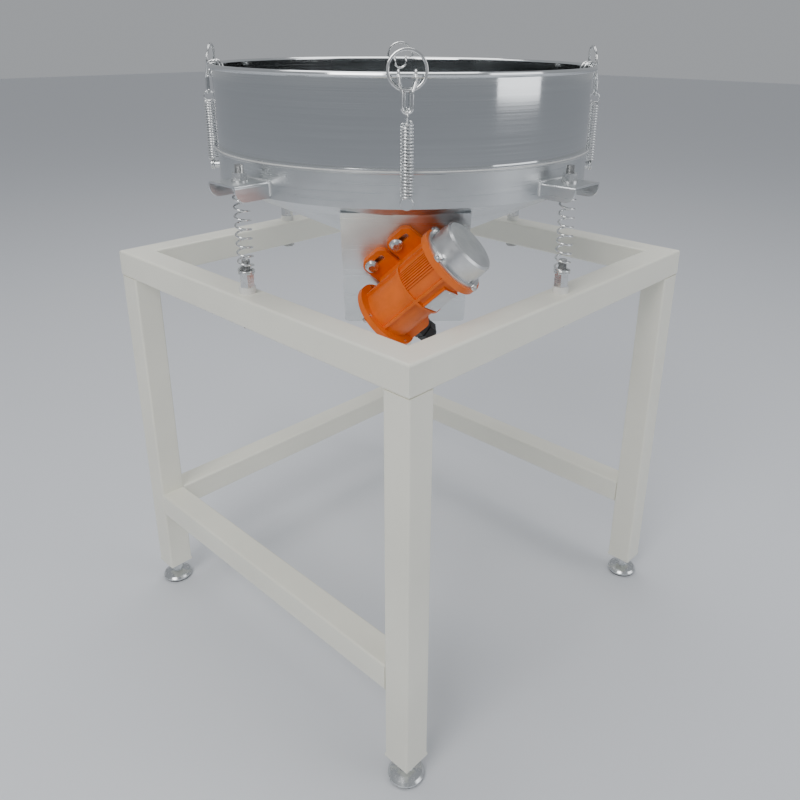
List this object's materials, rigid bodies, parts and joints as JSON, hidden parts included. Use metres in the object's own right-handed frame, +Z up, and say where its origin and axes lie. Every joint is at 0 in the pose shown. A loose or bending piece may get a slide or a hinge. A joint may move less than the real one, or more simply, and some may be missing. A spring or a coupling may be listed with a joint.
{
  "type": "vibrating sieve",
  "caption": "Round vibrating sieve: a spring-mounted pan and lift-off drum with wire clips on a square-tube stand, shaken by a vibrator motor, with a bottom outlet.",
  "frame": {"origin": "on the floor under the centre of the square stand", "axes": "+Z up, -Y towards the open front of the stand, the motor in the -X -Y corner"},
  "size_m": [0.474, 0.474, 0.6879],
  "materials": {
    "cream_paint": "semi-gloss",
    "white_plastic": "gloss",
    "zinc_steel": "satin",
    "satin_stainless": "satin",
    "polished_stainless": "polished",
    "spring_steel": "polished",
    "orange_paint": "semi-gloss",
    "bare_aluminium": "satin",
    "cast_iron_grey": "matt",
    "bearing_steel": "polished",
    "core_steel": "matt",
    "dark_steel": "satin",
    "black_plastic": "matt",
    "mesh_wire": "satin",
    "white_silicone": "matt",
    "foot_stainless": "satin",
    "black_rubber": "matt"
  },
  "bodies": {
    "stand": {"leg_front_left": "cream_paint", "leg_front_right": "cream_paint", "leg_rear_left": "cream_paint", "leg_rear_right": "cream_paint", "top_rail_front": "cream_paint", "top_rail_rear": "cream_paint", "top_rail_left": "cream_paint", "top_rail_right": "cream_paint", "lower_rail_rear": "cream_paint", "lower_rail_left": "cream_paint", "lower_rail_right": "cream_paint", "leg_end_plates": "cream_paint", "spring_sleeves": "white_plastic", "lower_studs": "zinc_steel", "lower_nuts": "zinc_steel"},
    "deck": {"pan_ring": "satin_stainless", "pan_cone": "satin_stainless", "outlet_spout": "satin_stainless", "spring_brackets": "satin_stainless", "upper_studs": "zinc_steel", "upper_nuts": "zinc_steel", "support_springs": "spring_steel", "motor_plate": "satin_stainless", "clip_pegs": "satin_stainless", "motor_housing": "orange_paint", "motor_end_cap": "bare_aluminium", "motor_end_cover": "orange_paint", "cap_screws": "zinc_steel", "bearing_shield": "cast_iron_grey", "motor_bearings": "bearing_steel", "stator": "core_steel", "cable_gland": "black_plastic", "foot_bolts": "zinc_steel", "foot_nuts": "zinc_steel"},
    "rotor": {"rotor_shaft": "dark_steel", "eccentric_weights": "dark_steel"},
    "drum": {"drum_shell": "polished_stainless", "screen_hoop": "polished_stainless", "screen_mesh": "mesh_wire", "screen_gasket": "white_silicone"},
    "foot_front_left": {"foot_cup_front_left": "foot_stainless", "foot_pad_front_left": "black_rubber"},
    "hook_front_left": {"clip_hook_front_left": "spring_steel", "clip_spring_front_left": "spring_steel"},
    "ring_front_left": {"pull_ring_front_left": "spring_steel"},
    "foot_front_right": {"foot_cup_front_right": "foot_stainless", "foot_pad_front_right": "black_rubber"},
    "hook_front_right": {"clip_hook_front_right": "spring_steel", "clip_spring_front_right": "spring_steel"},
    "ring_front_right": {"pull_ring_front_right": "spring_steel"},
    "foot_rear_right": {"foot_cup_rear_right": "foot_stainless", "foot_pad_rear_right": "black_rubber"},
    "hook_rear_right": {"clip_hook_rear_right": "spring_steel", "clip_spring_rear_right": "spring_steel"},
    "ring_rear_right": {"pull_ring_rear_right": "spring_steel"},
    "foot_rear_left": {"foot_cup_rear_left": "foot_stainless", "foot_pad_rear_left": "black_rubber"},
    "hook_rear_left": {"clip_hook_rear_left": "spring_steel", "clip_spring_rear_left": "spring_steel"},
    "ring_rear_left": {"pull_ring_rear_left": "spring_steel"}
  },
  "joints": [
    {"name": "level_front_left", "type": "slide", "parent": "stand", "child": "foot_front_left", "axis": [0, 0, -1], "range_m": [-0.005, 0.01]},
    {"name": "level_front_right", "type": "slide", "parent": "stand", "child": "foot_front_right", "axis": [0, 0, -1], "range_m": [-0.005, 0.01]},
    {"name": "level_rear_right", "type": "slide", "parent": "stand", "child": "foot_rear_right", "axis": [0, 0, -1], "range_m": [-0.005, 0.01]},
    {"name": "level_rear_left", "type": "slide", "parent": "stand", "child": "foot_rear_left", "axis": [0, 0, -1], "range_m": [-0.005, 0.01]},
    {"name": "deck_bounce", "type": "slide", "parent": "stand", "child": "deck", "axis": [0, 0, 1], "range_m": [-0.01, 0.008], "stiffness_N_per_m": 19700, "springref_m": 0.0042, "deforming": ["support_springs"]},
    {"name": "rotor_spin", "type": "hinge", "parent": "deck", "child": "rotor", "pos_m": [-0.129, -0.15437, 0.4865], "axis": [0.3282, -0.6452, 0.6899], "continuous": true},
    {"name": "drum_lift", "type": "slide", "parent": "deck", "child": "drum", "axis": [0, 0, 1], "range_m": [0, 0.15]},
    {"name": "hook_pull_front_left", "type": "slide", "parent": "drum", "child": "hook_front_left", "axis": [0, 0, 1], "range_m": [0, 0.016], "stiffness_N_per_m": 3100, "springref_m": -0.003, "deforming": ["clip_spring_front_left"]},
    {"name": "ring_swing_front_left", "type": "hinge", "parent": "hook_front_left", "child": "ring_front_left", "pos_m": [-0.14609, -0.14609, 0.6545], "axis": [0.7071, -0.7071, 0], "range_deg": [0, 140]},
    {"name": "hook_pull_front_right", "type": "slide", "parent": "drum", "child": "hook_front_right", "axis": [0, 0, 1], "range_m": [0, 0.016], "stiffness_N_per_m": 3100, "springref_m": -0.003, "deforming": ["clip_spring_front_right"]},
    {"name": "ring_swing_front_right", "type": "hinge", "parent": "hook_front_right", "child": "ring_front_right", "pos_m": [0.14609, -0.14609, 0.6545], "axis": [0.7071, 0.7071, 0], "range_deg": [0, 140]},
    {"name": "hook_pull_rear_right", "type": "slide", "parent": "drum", "child": "hook_rear_right", "axis": [0, 0, 1], "range_m": [0, 0.016], "stiffness_N_per_m": 3100, "springref_m": -0.003, "deforming": ["clip_spring_rear_right"]},
    {"name": "ring_swing_rear_right", "type": "hinge", "parent": "hook_rear_right", "child": "ring_rear_right", "pos_m": [0.14609, 0.14609, 0.6545], "axis": [-0.7071, 0.7071, 0], "range_deg": [0, 140]},
    {"name": "hook_pull_rear_left", "type": "slide", "parent": "drum", "child": "hook_rear_left", "axis": [0, 0, 1], "range_m": [0, 0.016], "stiffness_N_per_m": 3100, "springref_m": -0.003, "deforming": ["clip_spring_rear_left"]},
    {"name": "ring_swing_rear_left", "type": "hinge", "parent": "hook_rear_left", "child": "ring_rear_left", "pos_m": [-0.14609, 0.14609, 0.6545], "axis": [-0.7071, -0.7071, 0], "range_deg": [0, 140]}
  ]
}
